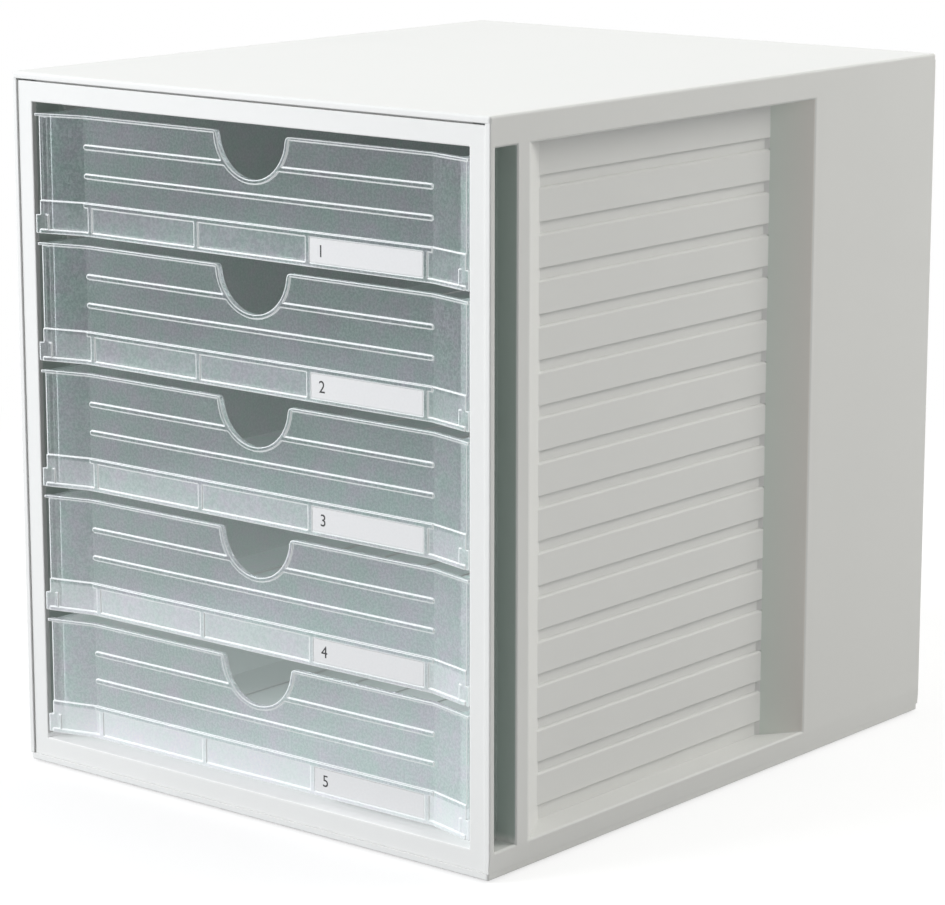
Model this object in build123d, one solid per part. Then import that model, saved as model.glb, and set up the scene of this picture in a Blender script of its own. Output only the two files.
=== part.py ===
from build123d import *
from math import hypot
import os

# Desktop drawer organizer: a moulded case with slatted sides and five clear drawers.
# Millimetres. X runs to the right, Y from the front face to the back, Z up.
# The origin is under the middle of the case, on the surface that the feet stand on.

# Case
case_width = 275.0
case_depth = 330.0
case_height = 320.0
top_thickness = 3.0
base_thickness = 3.0
back_thickness = 2.5
edge_radius = 1.2
side_edge_radius = 0.5
panel_seam = 0.2

# Feet: round pads pressed into shallow seats under the base
foot_radius = 8.0
foot_thickness = 2.2
foot_drop = 1.2
foot_inset = 22.0

# Front frame: a plate set back between the casing's edges, with one large opening and a sill
frame_setback = 0.8
frame_thickness = 2.8
frame_border = 11.5
frame_lower_border = 13.0
frame_upper_border = 13.0
frame_top_seam = 0.9
frame_edge_radius = 0.6
sill_thickness = 2.0
sill_reach = 32.0
sill_clearance = 0.5
locating_rib = 2.0

# Side panel: an outer skin with a grip slot and a slatted recess moulded into it
skin = 2.7
slot_width = 13.8
slot_depth = 10.2
slot_wall = 1.4
slot_back_wall = 2.0
recess_front = 25.8
recess_back = 230.5
recess_depth = 12.6
recess_wall = 1.9
front_ramp_length = 21.5
back_ramp_length = 17.2
slats_per_drawer = 3
groove_height = 5.0
groove_depth = 1.55
slat_edge_bevel = 0.8
mouth_bevel = 0.7
guide_depth = 1.7
guide_margin = 1.0
guide_web = 2.0
foot_band_height = 10.6
foot_band_inset = 0.8

# Drawers
drawer_count = 5
drawer_gap = 4.3
drawer_lift = 3.3
drawer_headroom = 5.0
drawer_end = 322.0
drawer_wall = 1.8
front_wall = 2.0
front_corner_setback = 2.4
front_bow_depth = 5.9
front_flat_half_width = 101.0
front_end_reach = 0.8
back_corner_radius = 8.0
side_clearance = 0.5
guide_lift = 4.5
seat_gap = 0.3
flange_thickness = 2.0
rim_thickness = 1.7
floor_rise = 0.3
ear_clearance = 0.6
ear_height = 8.4
floor_rib_count = 8
floor_rib_spacing = 26.0
floor_rib_width = 1.6
floor_rib_height = 0.6

# Relief on the drawer front
relief = 0.6
line_height = 2.0
fields_per_front = 4
top_rim_height = 1.2
top_rim_reach = 2.4
bottom_rim_height = 1.8
field_rib_width = 2.4
field_rib_count = 4
field_margin = 2.45
notch_radius = 20.0
notch_corner_radius = 2.0
notch_bead_width = 1.7

# Pull-out stop: a lug on the drawer's flange runs under the next guide until it meets a nub
stop_lug_length = 8.0
stop_lug_from_end = 75.0
stop_lug_gap = 0.5
stop_nub_height = 6.0
stop_nub_length = 5.5

# Label cards
card_thickness = 0.5
card_gap = 0.3

# Levels and planes worked out from the sizes above
front_y = -case_depth / 2
base_top = foot_drop + base_thickness
top_underside = case_height - top_thickness
half_width = case_width / 2
opening_half_width = half_width - frame_border
opening_lift = frame_lower_border
opening_top = case_height - frame_upper_border
frame_back = frame_setback + frame_thickness
slot_back = frame_back + slot_width
slat_inner = recess_depth + recess_wall
guide_inner = slat_inner + guide_depth
interior_back = case_depth - back_thickness
flange_half_width = half_width - slat_inner - side_clearance
wall_half_width = half_width - guide_inner - side_clearance
front_half_width = flange_half_width + front_end_reach
ear_half_width = opening_half_width - ear_clearance
front_ramp_slope = front_ramp_length / recess_depth
back_ramp_slope = back_ramp_length / recess_depth
guide_height = groove_height + 2 * guide_margin
drawer_room = opening_top - opening_lift - drawer_lift - drawer_headroom
drawer_pitch = (drawer_room + drawer_gap) / drawer_count
drawer_height = drawer_pitch - drawer_gap
field_pitch = (drawer_height - bottom_rim_height) / fields_per_front
field_rib_pitch = (2 * (front_flat_half_width - field_margin) - field_rib_width) / (field_rib_count - 1)
slat_pitch = drawer_pitch / slats_per_drawer
bow_front = front_corner_setback + front_bow_depth
bow_slope = front_bow_depth / (front_half_width - front_flat_half_width)


def drawer_level(index):
    """Height of the lower edge of a drawer, counted from the lowest drawer as 0."""
    return opening_lift + drawer_lift + index * drawer_pitch


def block(x_range, y_range, z_range):
    """Box between two limits on each axis, with Y measured back from the front face."""
    size = [high - low for low, high in (x_range, y_range, z_range)]
    corner = Vector(x_range[0], front_y + y_range[0], z_range[0])
    return Pos(corner) * Box(*size, align=(Align.MIN, Align.MIN, Align.MIN))


def side_prism(points, z_range):
    """Upright prism over a plan outline given as (inward from the side face, back from the front)."""
    outline = [(half_width - inward, front_y + depth) for inward, depth in points]
    face = make_face(Polyline(*outline, close=True).edges())
    return extrude(Pos(0, 0, z_range[0]) * face, z_range[1] - z_range[0], dir=(0, 0, 1))


def side_block(inward_range, depth_range, z_range):
    """Box on the right side, with its width measured inward from the side face."""
    low, high = inward_range
    return block((half_width - high, half_width - low), depth_range, z_range)


def side_rail(points, depth_range):
    """Prism along the depth over a section given as (inward from the side face, height)."""
    section = [(half_width - inward, height) for inward, height in points]
    face = Plane.XZ * make_face(Polyline(*section, close=True).edges())
    start, end = depth_range
    return extrude(Pos(0, front_y + start, 0) * face, end - start, dir=(0, 1, 0))


def recess_outline(depth, wall=0.0):
    """Plan of the recess to a given depth, or of the wall that encloses it."""
    front = recess_front - wall * hypot(1, front_ramp_slope)
    back = recess_back + wall * hypot(1, back_ramp_slope)
    return [
        (0, front),
        (depth, front + front_ramp_slope * depth),
        (depth, back - back_ramp_slope * depth),
        (0, back),
    ]


def guide_levels():
    """Lower and upper level of every inner guide, from the lowest up."""
    lowest = drawer_level(0) + guide_lift - guide_height
    lows = [lowest + number * slat_pitch for number in range(drawer_count * slats_per_drawer)]
    return [(low, low + guide_height) for low in lows]


def side_panel():
    """Right side: skin, grip slot, slatted recess, and inner guides that carry the drawers."""
    panel = side_block((0, skin), (0, case_depth), (base_top, top_underside))
    panel = fillet(panel.edges().filter_by(Axis.Z).sort_by(Axis.X)[-2:], side_edge_radius)

    slot_shell = (opening_lift - slot_wall, opening_top + slot_wall)
    panel += side_block((0, slot_depth + slot_wall), (frame_back, slot_back), slot_shell)
    panel += side_block((0, slat_inner), (slot_back, slot_back + slot_back_wall), slot_shell)
    recess_shell = (opening_lift - recess_wall, opening_top + recess_wall)
    panel += side_prism(recess_outline(slat_inner, recess_wall), recess_shell)

    guides = guide_levels()
    guide_plan = recess_outline(guide_inner, recess_wall)
    for number, (low, high) in enumerate(guides):
        panel += side_prism(guide_plan, (recess_shell[0] if number == 0 else low, high))

    panel -= side_block((0, slot_depth), (frame_back, slot_back), (opening_lift, opening_top))
    panel -= side_prism(recess_outline(recess_depth), (opening_lift, opening_top))
    groove_plan = recess_outline(recess_depth + groove_depth)
    slat_run = (recess_front + front_ramp_length, recess_back - back_ramp_length)
    for number, (low, high) in enumerate(guides):
        groove_low = opening_lift if number == 0 else low + guide_margin
        panel -= side_prism(groove_plan, (groove_low, high - guide_margin))
        if number > 0:
            slat_edge = [
                (recess_depth, groove_low - slat_edge_bevel),
                (recess_depth, groove_low),
                (recess_depth + slat_edge_bevel, groove_low),
            ]
            panel -= side_rail(slat_edge, slat_run)

    hollow = side_prism(groove_plan, (opening_lift, opening_top))
    run = (slot_back, interior_back)
    nub_run = (slot_back, slot_back + stop_nub_length)
    for low, high in guides[::slats_per_drawer]:
        panel += side_block((skin, guide_inner), run, (high - guide_web, high)) - hollow
    for low, high in guides[1::slats_per_drawer]:
        panel += side_block((skin, guide_inner), run, (low, low + guide_web)) - hollow
        panel += side_block((slot_depth, guide_inner), nub_run, (low - stop_nub_height, low))

    foot_band = [
        (foot_band_inset, foot_drop),
        (-foot_band_inset, foot_drop),
        (-foot_band_inset, foot_drop + foot_band_height),
        (0, foot_drop + foot_band_height),
    ]
    panel -= side_rail(foot_band, (0, case_depth))
    mouths = panel.faces().sort_by(Axis.X)[-1].inner_wires()
    return chamfer([edge for mouth in mouths for edge in mouth.edges()], mouth_bevel)


def top_panel():
    """Flat lid over the whole case, with a rib that locates it behind the front frame."""
    middle = Vector(0, 0, top_underside + top_thickness / 2)
    lid = Pos(middle) * Box(case_width, case_depth, top_thickness)
    lid = fillet(lid.edges().filter_by(Axis.Z), edge_radius)
    lid = fillet(lid.faces().sort_by(Axis.Z)[-1].edges(), edge_radius)
    rib_half = half_width - slot_depth - slot_wall - panel_seam
    rib = (frame_back, frame_back + locating_rib)
    lid += block((-rib_half, rib_half), rib, (opening_top, top_underside))
    return lid


def base_panel():
    """Flat floor of the case, with seats for the feet and ribs that stiffen it inside."""
    half = half_width - foot_band_inset
    floor = block((-half, half), (0, case_depth), (foot_drop, base_top))
    floor = fillet(floor.edges().filter_by(Axis.Z), edge_radius)
    floor = chamfer(floor.faces().sort_by(Axis.Z)[0].edges(), edge_radius / 3)
    seat_depth = foot_thickness - foot_drop
    for x, y in foot_places():
        floor -= Pos(x, y, foot_drop + seat_depth / 2) * Cylinder(foot_radius, seat_depth)
    rib_top = opening_lift - sill_thickness
    rib_run = (sill_reach + sill_clearance, interior_back)
    for side in (-1, 0, 1):
        x = side * wall_half_width / 2
        rib = (x - locating_rib / 2, x + locating_rib / 2)
        floor += block(rib, rib_run, (base_top, rib_top))
    return floor


def foot_places():
    """Plan places of the four feet."""
    x = half_width - foot_inset
    y = case_depth / 2 - foot_inset
    return [(-x, -y), (x, -y), (-x, y), (x, y)]


def foot(place):
    """One round pad with a softened lower edge, face to face with its seat."""
    pad = Pos(place[0], place[1], foot_thickness / 2) * Cylinder(foot_radius, foot_thickness)
    return chamfer(pad.faces().sort_by(Axis.Z)[0].edges(), foot_drop / 3)


def back_panel():
    """Flat closing panel between the sides, under the lid and on the base."""
    half = half_width - skin - panel_seam
    return block((-half, half), (interior_back, case_depth), (base_top, top_underside))


def front_frame():
    """Plate with rounded edges round the drawer opening, and the sill behind its lower bar."""
    half = half_width - skin - panel_seam
    levels = (base_top, top_underside - frame_top_seam)
    opening = (-opening_half_width, opening_half_width)
    plate = block((-half, half), (frame_setback, frame_back), levels)
    plate -= block(opening, (0, frame_back), (opening_lift, opening_top))
    opening_edge = plate.faces().sort_by(Axis.Y)[0].inner_wires()[0]
    plate = fillet(opening_edge.edges(), frame_edge_radius)
    sill_levels = (opening_lift - sill_thickness, opening_lift)
    sill_half = half_width - slot_depth - slot_wall - panel_seam
    plate += block((-sill_half, sill_half), (frame_back, slot_back - sill_clearance), sill_levels)
    plate += block((-flange_half_width, flange_half_width), (frame_back, sill_reach), sill_levels)
    return plate


def front_plan(outset, half, inset):
    """Plan of the bowed drawer front: a flat middle whose ends turn forward, given a thickness."""
    outer_ends = front_y + bow_front - bow_slope * (half - front_flat_half_width) - outset
    inner_ends = outer_ends + outset + inset
    flat_outer = front_y + bow_front - outset
    flat_inner = front_y + bow_front + inset
    flat = front_flat_half_width
    return make_face(
        Polyline(
            (-half, outer_ends),
            (-flat, flat_outer),
            (flat, flat_outer),
            (half, outer_ends),
            (half, inner_ends),
            (flat, flat_inner),
            (-flat, flat_inner),
            (-half, inner_ends),
            close=True,
        ).edges()
    )


def front_band(outset, half, z_range, inset=front_wall):
    """A stretch of the drawer front between two levels, standing out by outset."""
    face = front_plan(outset, half, inset)
    return extrude(Pos(0, 0, z_range[0]) * face, z_range[1] - z_range[0], dir=(0, 0, 1))


def drawer_front(floor_level):
    """The front panel with its rims, lines, label fields and finger notch."""
    top = floor_level + drawer_height
    half = front_half_width
    lines = [top - field_pitch * number for number in (1, 2, 3)]
    panel = front_band(0, half, (floor_level, top))
    panel += front_band(relief, flange_half_width + top_rim_reach, (top - top_rim_height, top))
    panel += front_band(relief, half, (floor_level, lines[2]))
    panel += front_band(relief, ear_half_width, (floor_level, floor_level + ear_height))
    panel += front_band(2 * relief, half, (floor_level, floor_level + bottom_rim_height))

    face_y = front_y + bow_front
    lying = Plane(origin=(0, face_y, 0), x_dir=(1, 0, 0), z_dir=(0, -1, 0))
    for level in lines[:2]:
        line = lying * Pos(0, level - line_height / 2) * SlotOverall(2 * front_flat_half_width, line_height)
        panel += extrude(line, relief)
    ridge = Pos(0, lines[2] - line_height / 2) * Rectangle(2 * front_flat_half_width, line_height)
    panel += extrude(lying * ridge, 2 * relief)
    rib_bottom = floor_level + bottom_rim_height
    rib_middle = (rib_bottom + lines[2]) / 2
    rib_height = lines[2] - rib_bottom
    for x in field_rib_places():
        rib = Pos(x, rib_middle) * Rectangle(field_rib_width, rib_height)
        panel += extrude(lying * rib, 2 * relief)

    bead = Pos(0, top) * Circle(notch_radius + notch_bead_width)
    bead &= Pos(0, top - 2 * notch_radius) * Rectangle(4 * notch_radius, 4 * notch_radius)
    panel += extrude(lying * bead, relief)
    mouth = notch_radius + notch_corner_radius
    notch = Pos(0, top) * Circle(notch_radius)
    notch += Pos(0, top - notch_corner_radius / 2) * Rectangle(2 * mouth, notch_corner_radius)
    for side in (-1, 1):
        notch -= Pos(side * mouth, top - notch_corner_radius) * Circle(notch_corner_radius)
    panel -= extrude(lying * notch, 3 * front_wall, both=True)
    return panel


def field_rib_places():
    """Places across the front of the four small ribs that bound the three label fields."""
    return [(number - (field_rib_count - 1) / 2) * field_rib_pitch for number in range(field_rib_count)]


def upright_box(half, back, z_range, corner):
    """Box from just behind the drawer front to the back, with rounded back corners."""
    body = block((-half, half), (front_corner_setback + front_wall / 2, back), z_range)
    return fillet(body.edges().filter_by(Axis.Z).sort_by(Axis.Y)[-2:], corner)


def drawer_tray(floor_level):
    """Walls and floor behind the front, the rim round the top and the flanges that run on the guides."""
    top = floor_level + drawer_height
    underside = floor_level + floor_rise
    floor_top = underside + drawer_wall
    rim = flange_half_width - wall_half_width
    wall_end = drawer_end - rim
    inner_half = wall_half_width - drawer_wall
    inner_end = wall_end - drawer_wall
    inner_corner = back_corner_radius - drawer_wall

    tray = upright_box(wall_half_width, wall_end, (underside, top), back_corner_radius)
    tray += upright_box(flange_half_width, drawer_end, (top - rim_thickness, top), back_corner_radius + rim)
    tray -= upright_box(inner_half, inner_end, (floor_top, top), inner_corner)

    rib_run = (bow_front + front_wall, inner_end - back_corner_radius)
    for number in range(floor_rib_count):
        x = (number - (floor_rib_count - 1) / 2) * floor_rib_spacing
        rib = (x - floor_rib_width / 2, x + floor_rib_width / 2)
        tray += block(rib, rib_run, (floor_top, floor_top + floor_rib_height))

    flange_low = floor_level + guide_lift + seat_gap
    next_guide = floor_level + guide_lift - guide_height + slat_pitch
    flange_run = (front_corner_setback + front_wall, wall_end - back_corner_radius)
    lug_run = (drawer_end - stop_lug_from_end, drawer_end - stop_lug_from_end + stop_lug_length)
    for side in (-1, 1):
        reach = sorted((side * flange_half_width, side * (wall_half_width - drawer_wall)))
        tray += block(reach, flange_run, (flange_low, flange_low + flange_thickness))
        tray += block(reach, lug_run, (flange_low, next_guide - stop_lug_gap))
    return tray


def drawer(index):
    """One drawer, moulded in one piece with its bowed front and the ears that stop it when shut."""
    floor_level = drawer_level(index)
    levels = (floor_level, floor_level + drawer_height)
    whole = drawer_tray(floor_level) - front_band(bow_front, half_width, levels, 0)
    whole += drawer_front(floor_level)
    ear_run = (front_corner_setback, slot_back - seat_gap)
    for side in (-1, 1):
        reach = sorted((side * ear_half_width, side * (wall_half_width - drawer_wall)))
        ear = block(reach, ear_run, (floor_level, floor_level + ear_height))
        outer_edges = ear.edges().filter_by(Axis.Z).sort_by(Axis.X)
        whole += fillet(outer_edges[-2:] if side > 0 else outer_edges[:2], edge_radius)
    return whole


def label_card(index):
    """A bare card in the right-hand label field, face to face with the drawer front."""
    left, right = field_rib_places()[-2:]
    inset = field_rib_width / 2 + card_gap
    bottom = drawer_level(index) + bottom_rim_height
    field_top = bottom + field_pitch - line_height
    face = bow_front - relief
    return block(
        (left + inset, right - inset),
        (face - card_thickness, face),
        (bottom + card_gap, field_top - card_gap),
    )


def pull_out():
    """How far a drawer slides out before its lug meets the nub."""
    return drawer_end - stop_lug_from_end - slot_back - stop_nub_length - seat_gap


def all_parts():
    """Every piece of the organizer by its node name."""
    right = side_panel()
    parts = {
        "top_panel": top_panel(),
        "base_panel": base_panel(),
        "back_panel": back_panel(),
        "front_frame": front_frame(),
        "right_side_panel": right,
        "left_side_panel": mirror(right, about=Plane.YZ),
    }
    for name, place in zip(("front_left", "front_right", "back_left", "back_right"), foot_places()):
        parts[f"foot_{name}"] = foot(place)
    for number in range(1, drawer_count + 1):
        parts[f"drawer_{number}"] = drawer(drawer_count - number)
        parts[f"label_card_{number}"] = label_card(drawer_count - number)
    return parts


os.makedirs("parts", exist_ok=True)
for node, shape in all_parts().items():
    shape.label = node
    export_step(shape, f"parts/{node}.step")
print("pull-out of each drawer", round(pull_out(), 2))
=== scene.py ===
import math

import bpy
import numpy as np
from mathutils import Matrix, Vector


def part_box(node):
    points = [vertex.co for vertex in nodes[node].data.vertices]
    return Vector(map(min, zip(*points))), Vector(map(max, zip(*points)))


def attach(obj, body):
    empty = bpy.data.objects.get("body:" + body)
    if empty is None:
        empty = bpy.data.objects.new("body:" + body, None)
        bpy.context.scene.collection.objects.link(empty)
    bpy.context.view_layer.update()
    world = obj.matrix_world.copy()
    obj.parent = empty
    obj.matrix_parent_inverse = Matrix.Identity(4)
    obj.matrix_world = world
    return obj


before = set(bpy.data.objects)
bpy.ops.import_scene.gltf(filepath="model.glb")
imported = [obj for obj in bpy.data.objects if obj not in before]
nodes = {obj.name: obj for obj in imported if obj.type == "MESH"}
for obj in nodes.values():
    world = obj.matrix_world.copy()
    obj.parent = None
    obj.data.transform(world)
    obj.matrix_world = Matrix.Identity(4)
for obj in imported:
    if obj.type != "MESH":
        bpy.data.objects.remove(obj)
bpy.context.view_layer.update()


# Camera
# It stands to the right of the drawers, a little above the case, with a long lens.
# The place and the focal length were fitted to the case's seven visible corners.
view_turn = math.radians(39.48)
view_lift = math.radians(12.14)
aim_height = 0.160
view_distance = 1.6291
view_slide = (-0.0058, -0.0219)
focal_length = 133.17
sensor_width = 36.0

view_back = Vector((
    math.sin(view_turn) * math.cos(view_lift),
    -math.cos(view_turn) * math.cos(view_lift),
    math.sin(view_lift),
))
view_right = Vector((math.cos(view_turn), math.sin(view_turn), 0))
view_up = view_back.cross(view_right)
camera_place = (
    Vector((0, 0, aim_height))
    + view_right * view_slide[0]
    + view_up * view_slide[1]
    + view_back * view_distance
)
lens = bpy.data.cameras.new("camera")
lens.lens = focal_length
lens.sensor_width = sensor_width
lens.clip_end = 20
camera = bpy.data.objects.new("camera", lens)
turn = Matrix((view_right, view_up, view_back)).transposed().to_4x4()
camera.matrix_world = Matrix.Translation(camera_place) @ turn
bpy.context.scene.collection.objects.link(camera)
bpy.context.scene.camera = camera
bpy.context.scene.view_settings.view_transform = "Standard"


# Studio
# A white sweep with a large soft lamp at the upper left, which lights the drawer side
# most, two weaker ones for the slatted side and the lid, and an even dim light all round.
class Flow:
    """A shader socket with arithmetic: an expression on it adds the Math nodes that work it out."""

    def __init__(self, tree, socket=None):
        self.tree = tree
        self.socket = socket

    def add(self, kind, inputs=None, out=0, **settings):
        """Adds a node, with its settings first and then the values or links of its sockets."""
        node = self.tree.nodes.new(kind)
        for name, value in settings.items():
            setattr(node, name, value)
        for name, value in (inputs or {}).items():
            if isinstance(value, Flow):
                self.tree.links.new(value.socket, node.inputs[name])
            else:
                node.inputs[name].default_value = value
        return Flow(self.tree, node.outputs[out])

    def here(self):
        """The point that is being shaded, in Object coordinates."""
        return self.add("ShaderNodeTexCoord", out="Object")

    def math(self, operation, *values):
        """What a Math node gives for links or numbers."""
        return self.add("ShaderNodeMath", dict(enumerate(values)), operation=operation)

    def clamp(self):
        """This value kept from 0 to 1."""
        return self.add("ShaderNodeClamp", {"Value": self})

    def absolute(self):
        """This value without its sign."""
        return self.math("ABSOLUTE", self)

    def axis(self, number):
        """One coordinate of a place: 0 for X, 1 for Y and 2 for Z."""
        return self.add("ShaderNodeSeparateXYZ", {"Vector": self}, out=number)

    def noise(self, scale, detail, roughness=0.5):
        """Cloudy noise at this place, from 0 to 1 round a middle of 0.5."""
        values = {"Vector": self, "Scale": scale, "Detail": detail, "Roughness": roughness}
        return self.add("ShaderNodeTexNoise", values)

    def rise(self, low, high, kind="LINEAR"):
        """0 up to the low limit, 1 from the high limit on, and a slope between them."""
        limits = {"Value": self, "From Min": low, "From Max": high}
        return self.add("ShaderNodeMapRange", limits, interpolation_type=kind)

    def contrast(self, gain, middle):
        """This value with its spread round 0.5 widened, set round a new middle and kept from 0 to 1."""
        return ((self - 0.5) * gain + middle).clamp()

    def within(self, low, high):
        """1 where this value lies between two limits and 0 outside them."""
        return (self > low) * (self < high)

    def mix(self, first, second):
        """The first colour where this value is 0 and the second where it is 1."""
        sockets = {0: self, 6: opaque(first), 7: opaque(second)}
        return self.add("ShaderNodeMix", sockets, out=2, data_type="RGBA")

    def __add__(self, other):
        return self.math("ADD", self, other)

    def __sub__(self, other):
        return self.math("SUBTRACT", self, other)

    def __mul__(self, other):
        return self.math("MULTIPLY", self, other)

    def __rsub__(self, other):
        return self.math("SUBTRACT", other, self)

    def __lt__(self, other):
        return self.math("LESS_THAN", self, other)

    def __gt__(self, other):
        return self.math("GREATER_THAN", self, other)

    __radd__ = __add__
    __rmul__ = __mul__


def opaque(tone):
    """A colour of three numbers with an alpha of 1; a link is passed on as it is."""
    return tone if isinstance(tone, Flow) else (*tone, 1)


# The rays that make what is seen, which the white of the backdrop and the floor is for.
seen_rays = ("Is Camera Ray", "Is Glossy Ray", "Is Transmission Ray")


def ray_is_one_of(start, kinds):
    """1 for rays of the given kinds and 0 for the rest."""
    return sum(start.add("ShaderNodeLightPath", out=kind) for kind in kinds).clamp()


def new_material(name):
    """An empty material, as a Flow to start expressions from, and its output node."""
    material = bpy.data.materials.new(name)
    material.use_nodes = True
    material.node_tree.nodes.clear()
    output = material.node_tree.nodes.new("ShaderNodeOutputMaterial")
    return material, Flow(material.node_tree), output


def connect(start, shader, output):
    """Makes a shader the surface that an output node shows."""
    start.tree.links.new(shader.socket, output.inputs["Surface"])


backdrop_white = (0.985, 1.0, 1.0)
studio_light = 0.27
seen_light = 1.0
world = bpy.data.worlds.new("studio")
world.use_nodes = True
world.node_tree.nodes.clear()
start = Flow(world.node_tree)
strength = ray_is_one_of(start, seen_rays) * (seen_light - studio_light) + studio_light
backdrop = start.add("ShaderNodeBackground", {"Color": opaque(backdrop_white), "Strength": strength})
connect(start, backdrop, world.node_tree.nodes.new("ShaderNodeOutputWorld"))
bpy.context.scene.world = world


def soft_lamp(name, place, aim, size, power, tone):
    """A square area lamp at a place, turned to face a point; glossy faces don't mirror it."""
    lamp = bpy.data.lights.new(name, "AREA")
    lamp.size = size
    lamp.energy = power
    lamp.color = tone
    holder = bpy.data.objects.new(name, lamp)
    holder.visible_glossy = False
    direction = Vector(aim) - Vector(place)
    holder.matrix_world = Matrix.Translation(place) @ direction.to_track_quat("-Z", "Y").to_matrix().to_4x4()
    bpy.context.scene.collection.objects.link(holder)


soft_lamp("drawer_side_lamp", (-1.3, -1.85, 1.15), (-0.02, -0.1, 0.12), 1.6, 65, (0.955, 0.97, 1.0))
soft_lamp("slatted_side_lamp", (1.4, 1.6, 1.3), (0.1, 0.05, 0.18), 1.5, 33, (1.0, 0.985, 0.935))
soft_lamp("lid_lamp", (0.1, 0.1, 2.3), (0.05, 0.05, 0.25), 1.2, 11, (1.0, 0.995, 0.98))

# The floor looks nearly white, keeps a faint shadow near the case and fades into the
# backdrop, while its paper throws back less light on the case than it seems to.
floor_size = 14.0
shadow_reach = (0.35, 0.85)
lighting_shade = (0.43, 0.43, 0.43)
seen_shade = (0.36, 0.36, 0.36)
seen_glow = 0.70
bare_glow = 1.0
corners = np.array([(-1, -1, 0), (1, -1, 0), (1, 1, 0), (-1, 1, 0)], float) * floor_size / 2
floor_mesh = bpy.data.meshes.new("floor")
floor_mesh.from_pydata(corners.tolist(), [], [(0, 1, 2, 3)])
floor = bpy.data.objects.new("floor", floor_mesh)
bpy.context.scene.collection.objects.link(floor)
material, start, output = new_material("white_sweep")
paper = start.add("ShaderNodeBsdfDiffuse", {"Color": opaque(lighting_shade)})
seen_paper = start.add("ShaderNodeBsdfDiffuse", {"Color": opaque(seen_shade)})
glow = start.add("ShaderNodeEmission", {"Color": (1, 1, 1, 1), "Strength": seen_glow})
lit = start.add("ShaderNodeAddShader", {0: seen_paper, 1: glow})
bare = start.add("ShaderNodeEmission", {"Color": (1, 1, 1, 1), "Strength": bare_glow})
away = start.add("ShaderNodeVectorMath", {0: start.here()}, out="Value", operation="LENGTH")
far = away.rise(*shadow_reach, "SMOOTHSTEP")
sweep = start.add("ShaderNodeMixShader", {0: far, 1: lit, 2: bare})
seen = ray_is_one_of(start, seen_rays)
connect(start, start.add("ShaderNodeMixShader", {0: seen, 1: paper, 2: sweep}), output)
floor_mesh.materials.append(material)


# Case
# Six panels moulded in semi-gloss white polystyrene, snapped together into one box. The
# mould leaves a fine satin grain, and every edge is a little rounded.
case_tones = ((0.765, 0.77, 0.755), (0.80, 0.80, 0.785))
case_gloss = 0.36
case_edge_radius = 0.0008

# The seams under the lid and over the base stay crisp on the sides: nothing is rounded there.
side_plane = 0.1364
lid_seam = (0.3161, 0.3179)
base_seam = (0.0034, 0.0050)

# Painted shade in the grip slots: a grey that stands for their shadow inside, fading in just over the base.
slot_painted_shade = (0.47, 0.53, 0.50)
slot_width = (0.120, 0.1371)
slot_run = (-0.1616, -0.1474)
slot_fade = (0.0132, 0.0175)
slot_top = 0.3068

# Painted shade and reflection tint on the rear ramps: darker, cool white deep in, warm white at the face.
ramp_painted_shade_tones = ((0.71, 0.765, 0.71), (0.80, 0.77, 0.73))
ramp_width = (0.1240, 0.1372)
ramp_run = (0.0482, 0.0656)

# The sill has a weak glow, which stands for the light that the clear drawers gather on it.
sill_glow = (0.22, 0.22, 0.23)
sill_half_width = 0.1262
sill_run = (-0.1640, -0.1290)
sill_levels = (0.0120, 0.0150)


def dress(node, material):
    """Gives a CAD node a material in place of its own."""
    slots = nodes[node].data.materials
    slots.clear()
    slots.append(material)


def case_plastic():
    """Satin white with a fine grain; limits on X, Y and Z pick out the seams, the slots and rear ramps that
    get painted shade, and the sill.
    """
    material, start, output = new_material("satin_white_plastic")
    place = start.here()
    mottle = place.noise(14.0, 3.0)
    grain = place.noise(2600.0, 2.0)
    outward = place.axis(0).absolute()
    back = place.axis(1)
    height = place.axis(2)
    seam = (outward > side_plane) * (height.within(*lid_seam) + height.within(*base_seam))
    rounded = start.add("ShaderNodeBevel", {"Radius": case_edge_radius}, samples=8)
    flat = start.add("ShaderNodeNewGeometry", out="Normal")
    lie = start.add("ShaderNodeMix", {0: seam, 4: rounded, 5: flat}, out=1, data_type="VECTOR")
    grained = {"Strength": 0.12, "Distance": 0.00008, "Height": grain, "Normal": lie}
    bump = start.add("ShaderNodeBump", grained)

    # Painted shade: a mask over the inside of the grip slots, where grey takes the place of the case's
    # white.
    slot_shade = outward.within(*slot_width) * back.within(*slot_run)
    slot_shade = slot_shade * height.rise(*slot_fade, "SMOOTHSTEP") * (height < slot_top)
    # Painted shade on the rear ramps, with a painted reflection tint running from cool to warm along each
    # ramp.
    ramp_shade = outward.within(*ramp_width) * back.within(*ramp_run) * height.within(slot_fade[0], slot_top)
    sill = (outward < sill_half_width) * back.within(*sill_run) * height.within(*sill_levels)
    tone = slot_shade.mix(mottle.mix(*case_tones), slot_painted_shade)
    tone = ramp_shade.mix(tone, back.rise(*ramp_run).mix(*ramp_painted_shade_tones))
    shell = start.add("ShaderNodeBsdfPrincipled", {
        "Base Color": tone,
        "Roughness": mottle * 0.06 + grain * 0.05 + case_gloss,
        "Normal": bump,
        "Emission Color": sill.mix((0, 0, 0), sill_glow),
        "Emission Strength": 1.0,
    })
    connect(start, shell, output)
    return material


satin_white = case_plastic()
for name in ("top_panel", "base_panel", "back_panel", "front_frame", "right_side_panel", "left_side_panel"):
    dress(name, satin_white)


# Feet
# Four round pads of soft black rubber, which lift the case a little off the desk. Each is
# pressed into a seat under the base.
rubber_tones = ((0.012, 0.012, 0.013), (0.035, 0.035, 0.036))


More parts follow.
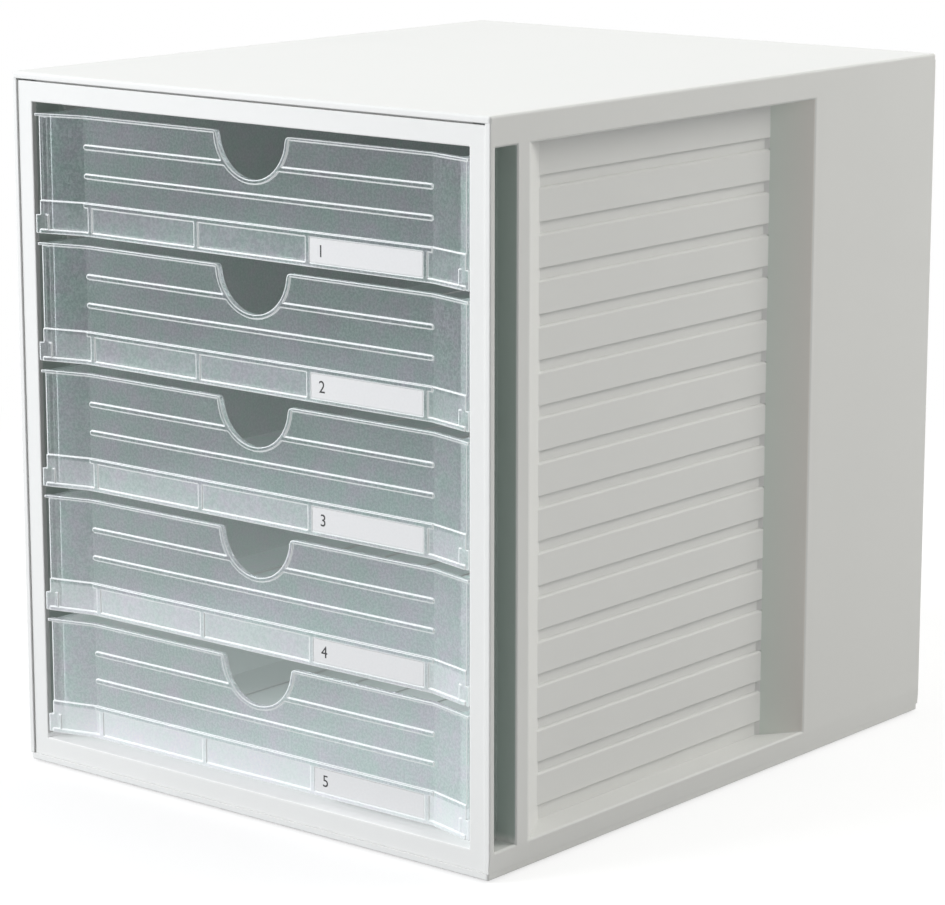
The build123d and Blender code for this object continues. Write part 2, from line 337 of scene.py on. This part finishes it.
def foot_rubber():
    """Black rubber with a fine matt grain."""
    material, start, output = new_material("soft_black_rubber")
    place = start.here()
    grain = place.noise(1400.0, 3.0)
    bump = start.add("ShaderNodeBump", {"Strength": 0.3, "Distance": 0.0001, "Height": grain})
    tone = grain.mix(*rubber_tones)
    pad = start.add("ShaderNodeBsdfPrincipled", {"Base Color": tone, "Roughness": 0.8, "Normal": bump})
    connect(start, pad, output)
    return material


rubber = foot_rubber()
for name in ("foot_front_left", "foot_front_right", "foot_back_left", "foot_back_right"):
    dress(name, rubber)


# Drawers
# Each is moulded in one piece of clear polystyrene, with a frosted skin and polished rims
# and lines. It slides in the case on its flanges.
drawer_numbers = range(1, 6)
front_inner_face = -0.1545
bow_start = 0.101
bow_slope = 0.2646
wall_inner_face = 0.1165
wall_middle = 0.1195
lowest_drawer = 0.0163
drawer_pitch = 0.058
label_band_height = 0.01298
drawer_stack = 0.2857
drawer_edge_radius = 0.0009

# The frosted skin is speckled between a deep and a pale tone, and both vary between two tints.
deep_tones = ((0.345, 0.475, 0.445), (0.455, 0.445, 0.50))
pale_tones = ((0.66, 0.81, 0.77), (0.78, 0.76, 0.84))

# A milky haze lies over the skin, the frosting itself. Its extra thickness on the label bands and
# in the lower drawers is painted light, standing for the light the bands carry and the floor sends up.
mist_tones = ((0.82, 0.865, 0.86), (0.87, 0.85, 0.90))
# Painted light: the haze's glow, paler on the fronts and brighter and greener behind them.
front_painted_glow = (0.61, 0.64, 0.65)
inner_painted_glow = (0.86, 0.99, 0.965)
haze_painted_glow = 0.27

# Rims and lines are polished; wherever an edge is rounded they get a painted highlight, a white coat with a
# faint glow that stands for the light they catch.
rim_painted_highlight = (0.97, 1.0, 1.0)
rim_painted_glow = 0.12
rim_spread = 14.0

# The rays that bring light pass straight through the clear plastic, hardly dimmed.
lighting_rays = ("Is Shadow Ray", "Is Diffuse Ray")
passing_light = (0.98, 0.995, 0.99)


def frosted_clear():
    """Clear, milky and polished plastic, mixed by where a point lies on its drawer, with painted light in
    the haze and painted highlights on the rims.
    """
    material, start, output = new_material("frosted_clear_plastic")
    place = start.here()
    frost = place.noise(900.0, 3.0, 0.7)
    cloud = place.noise(25.0, 2.0)
    tinge = place.noise(75.0, 4.0, 0.7)
    speck = frost.contrast(6.0, 0.4)
    stain = tinge.contrast(4.0, 0.42)
    rounded = start.add("ShaderNodeBevel", {"Radius": drawer_edge_radius}, samples=10)
    flat = start.add("ShaderNodeNewGeometry", out="True Normal")
    facing = start.add("ShaderNodeVectorMath", {0: rounded, 1: flat}, out="Value", operation="DOT_PRODUCT")
    grained = {"Strength": 0.35, "Distance": 0.00015, "Height": frost, "Normal": rounded}
    bump = start.add("ShaderNodeBump", grained)

    # The frosted skin, clear plastic with speckles, clouds and tints.
    body = (speck * 0.6 + cloud * 0.4).mix(stain.mix(*deep_tones), stain.mix(*pale_tones))
    clear = start.add("ShaderNodeBsdfPrincipled", {
        "Base Color": body,
        "Roughness": 0.34,
        "IOR": 1.3,
        "Transmission Weight": 0.97,
        "Normal": bump,
    })

    # Where the point lies: behind the front's inner face, which comes forward at its ends, on
    # a side wall or its outer half, on a label band, and how low in the stack of drawers.
    outward = place.axis(0).absolute()
    forward = outward.math("MAXIMUM", outward - bow_start, 0.0) * bow_slope
    inside = place.axis(1) + forward > front_inner_face
    walls = outward > wall_inner_face
    outer = outward > wall_middle
    height = place.axis(2) - lowest_drawer
    band = (height.math("MODULO", height, drawer_pitch) < label_band_height) * (1 - inside)
    low = (1 - height * (1 / drawer_stack)).clamp()
    lower = low * low

    # The haze itself, which scatters light back and through, with a weak glow that is painted light: an
    # emission standing for the light the frosted plastic carries inside the case.
    mist = stain.mix(*mist_tones)
    skin = start.add("ShaderNodeBsdfDiffuse", {"Color": mist, "Normal": bump})
    through = start.add("ShaderNodeBsdfTranslucent", {"Color": mist, "Normal": bump})
    misty = start.add("ShaderNodeMixShader", {0: 0.4, 1: skin, 2: through})
    # Painted light: the colour of the haze's glow, set by whether a point lies behind the front.
    painted_glow_tone = inside.mix(front_painted_glow, inner_painted_glow)
    glow = start.add("ShaderNodeEmission", {"Color": painted_glow_tone, "Strength": haze_painted_glow})
    milky = start.add("ShaderNodeAddShader", {0: misty, 1: glow})

    # The share of haze on the side walls, where it is thinner outside, on the floor and back,
    # and on the front, to which the label band adds its own. The part of each share that grows
    # toward the lower drawers, and the label band's share, are painted light.
    wall_haze = (lower * lower * 0.7 + low * 0.1 + 0.22) * (1 - outer * 0.6)
    floor_haze = lower * lower * 0.8 + lower * 0.1 + 0.18
    front_haze = lower * 0.27 + speck * 0.09
    inner_haze = walls * wall_haze + (1 - walls) * floor_haze
    haze = inside * inner_haze + band * (lower * 0.45 + 0.05) + (1 - inside) * front_haze
    hazy = start.add("ShaderNodeMixShader", {0: haze, 1: clear, 2: milky})

    # The polished rims and their painted highlight, where the rounded normal turns away from the flat one.
    edge = ((1 - facing) * rim_spread).clamp() * (1 - inside * walls * 0.9)
    rim_highlight = start.add("ShaderNodeBsdfPrincipled", {
        "Base Color": opaque(rim_painted_highlight),
        "Roughness": 0.25,
        "IOR": 1.49,
        "Transmission Weight": 0.1,
        "Emission Color": (1, 1, 1, 1),
        "Emission Strength": rim_painted_glow,
        "Normal": bump,
    })
    solid = start.add("ShaderNodeMixShader", {0: edge, 1: hazy, 2: rim_highlight})
    lighting = ray_is_one_of(start, lighting_rays)
    passed = start.add("ShaderNodeBsdfTransparent", {"Color": opaque(passing_light)})
    connect(start, start.add("ShaderNodeMixShader", {0: lighting, 1: solid, 2: passed}), output)
    return material


frosted = frosted_clear()
for number in drawer_numbers:
    dress(f"drawer_{number}", frosted)


# Label cards
# Slips of matt white card, cut to the label field. One lies in the right-hand field of each
# drawer and slides with it.
card_tones = ((0.71, 0.71, 0.71), (0.77, 0.77, 0.77))


def card_paper():
    """Matt white card with a fine paper grain."""
    material, start, output = new_material("matt_white_card")
    place = start.here()
    fibre = place.noise(900.0, 4.0)
    bump = start.add("ShaderNodeBump", {"Strength": 0.15, "Distance": 0.00005, "Height": fibre})
    tone = fibre.mix(*card_tones)
    slip = start.add("ShaderNodeBsdfPrincipled", {"Base Color": tone, "Roughness": 0.85, "Normal": bump})
    connect(start, slip, output)
    return material


white_card = card_paper()
for number in drawer_numbers:
    dress(f"label_card_{number}", white_card)


# Card numbers
# Each card carries its drawer's number, printed small in black ink near its left end. The
# ink is a very thin plate on the card's face.
digit_height = 0.0075
digit_inset = 0.0042
ink_height = 0.00004
ink_tones = ((0.012, 0.012, 0.013), (0.06, 0.06, 0.062))


def printing_ink():
    """Black ink, a little uneven where it lies on the card's fibres."""
    material, start, output = new_material("black_printing_ink")
    place = start.here()
    fibre = place.noise(2200.0, 3.0)
    tone = fibre.mix(*ink_tones)
    print_coat = start.add("ShaderNodeBsdfPrincipled", {"Base Color": tone, "Roughness": 0.55})
    connect(start, print_coat, output)
    return material


def printed_digit(number):
    """The digit's outline as a thin upright plate: its width along X, its height along Z, facing -Y."""
    text = bpy.data.curves.new(f"digit_{number}", "FONT")
    text.body = str(number)
    text.size = digit_height
    text.extrude = ink_height / 2
    text.align_y = "CENTER"
    holder = bpy.data.objects.new(f"digit_{number}", text)
    mesh = bpy.data.meshes.new_from_object(holder)
    bpy.data.objects.remove(holder)
    flat = np.empty(len(mesh.vertices) * 3)
    mesh.vertices.foreach_get("co", flat)
    across, upward, outward = flat.reshape(-1, 3).T
    low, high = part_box(f"label_card_{number}")
    middle = (low[2] + high[2]) / 2 - (upward.min() + upward.max()) / 2
    x = low[0] + digit_inset + across
    y = low[1] - ink_height / 2 - outward
    mesh.vertices.foreach_set("co", np.column_stack((x, y, middle + upward)).ravel())
    mesh.update()
    return bpy.data.objects.new(f"card_number_{number}", mesh)


ink = printing_ink()
for number in drawer_numbers:
    digit = printed_digit(number)
    digit.data.materials.clear()
    digit.data.materials.append(ink)
    bpy.context.scene.collection.objects.link(digit)
    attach(digit, f"drawer_{number}")
